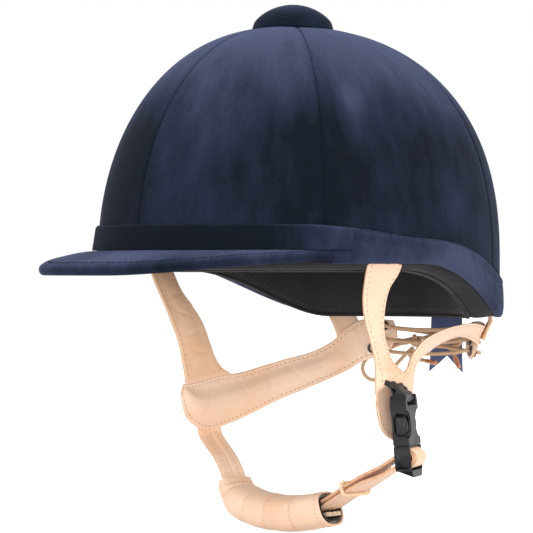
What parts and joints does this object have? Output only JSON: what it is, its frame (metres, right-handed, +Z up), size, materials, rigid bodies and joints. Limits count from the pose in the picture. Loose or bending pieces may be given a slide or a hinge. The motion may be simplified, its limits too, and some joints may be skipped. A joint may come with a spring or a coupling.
{
  "type": "riding hat",
  "caption": "Navy velvet riding hat with a fabric covered button, stiff peak, padded lining and a laced pale leather harness with a padded chin cup and a side release buckle.",
  "frame": {"origin": "centre of the head opening, level with the rim above the ears", "axes": "+Z up towards the crown, -Y the way the wearer faces, +X the wearer's left, where the buckle is"},
  "size_m": [0.2062, 0.3116, 0.3016],
  "materials": {
    "moulded_plastic": "matt moulded",
    "foam": "fine beaded foam",
    "foam_pad": "open foam",
    "black_cloth": "smooth black lining cloth",
    "felt": "brown grey felt",
    "velvet": "navy velvet with a short pile",
    "dark_velvet": "navy velvet laid so that it reads nearly black",
    "wood": "turned wood",
    "steel": "plated steel",
    "leather": "pale natural leather",
    "pale_leather": "pale raw leather",
    "hook_tape": "beige hook tape",
    "webbing": "black ribbed webbing",
    "buckle_plastic": "satin black plastic",
    "black_metal": "black enamelled",
    "lace": "tan braided cord",
    "aglet": "orange brown sleeve",
    "ribbon": "navy ribbed ribbon"
  },
  "bodies": {
    "hat": {"shell": "moulded_plastic", "foam_liner": "foam", "crown_lining": "black_cloth", "crown_pad": "foam_pad", "headband": "black_cloth", "rim_felt": "felt", "velvet_panel_1": "velvet", "velvet_panel_2": "velvet", "velvet_panel_3": "velvet", "velvet_panel_4": "velvet", "velvet_panel_5": "velvet", "velvet_panel_6": "velvet", "band_front": "dark_velvet", "band_back": "velvet", "peak_board": "moulded_plastic", "peak_top_cover": "velvet", "peak_under_cover": "dark_velvet", "button_cover": "dark_velvet", "button_core": "wood", "button_washer": "steel", "harness_rivets": "steel", "peak_rivets": "steel", "front_strap_left": "leather", "front_strap_right": "leather", "jaw_piece_left": "leather", "jaw_piece_right": "leather", "jaw_foam_left": "foam_pad", "jaw_foam_right": "foam_pad", "nape_hanger_left": "leather", "nape_hanger_right": "leather", "chin_strap": "leather", "chin_strap_loop": "leather", "cup_leather": "leather", "cup_padding": "foam_pad", "cup_lining": "black_cloth", "cup_hook_tab": "hook_tape", "buckle_webbing": "webbing", "buckle_socket": "buckle_plastic", "eyelets": "black_metal", "lace": "lace", "lace_knot": "lace", "lace_loop_left": "lace", "lace_loop_right": "lace", "lace_tail_left": "lace", "lace_tail_right": "lace", "aglets": "aglet", "ribbon_bow": "ribbon", "ribbon_knot": "ribbon", "ribbon_tail": "ribbon"},
    "plug": {"buckle_plug": "buckle_plastic"},
    "prong_front": {"prong_front": "buckle_plastic"},
    "prong_rear": {"prong_rear": "buckle_plastic"},
    "keeper": {"keeper_loop": "pale_leather"}
  },
  "joints": [
    {"name": "plug_slide", "type": "slide", "parent": "hat", "child": "plug", "axis": [0.079, 0.0368, -0.9962], "range_m": [0, 0.024], "deforming": ["chin_strap_loop"]},
    {"name": "prong_front_press", "type": "hinge", "parent": "plug", "child": "prong_front", "pos_m": [0.09505, -0.01976, -0.0988], "axis": [-0.9029, -0.421, -0.0872], "range_deg": [0, 6], "stiffness_Nm_per_rad": 0.05},
    {"name": "prong_rear_press", "type": "hinge", "parent": "plug", "child": "prong_rear", "pos_m": [0.08905, -0.00689, -0.0988], "axis": [0.9029, 0.421, 0.0872], "range_deg": [0, 6], "stiffness_Nm_per_rad": 0.05},
    {"name": "keeper_slide", "type": "slide", "parent": "hat", "child": "keeper", "axis": [0.8915, -0.1094, 0.4397], "range_m": [-0.008, 0.006]}
  ]
}
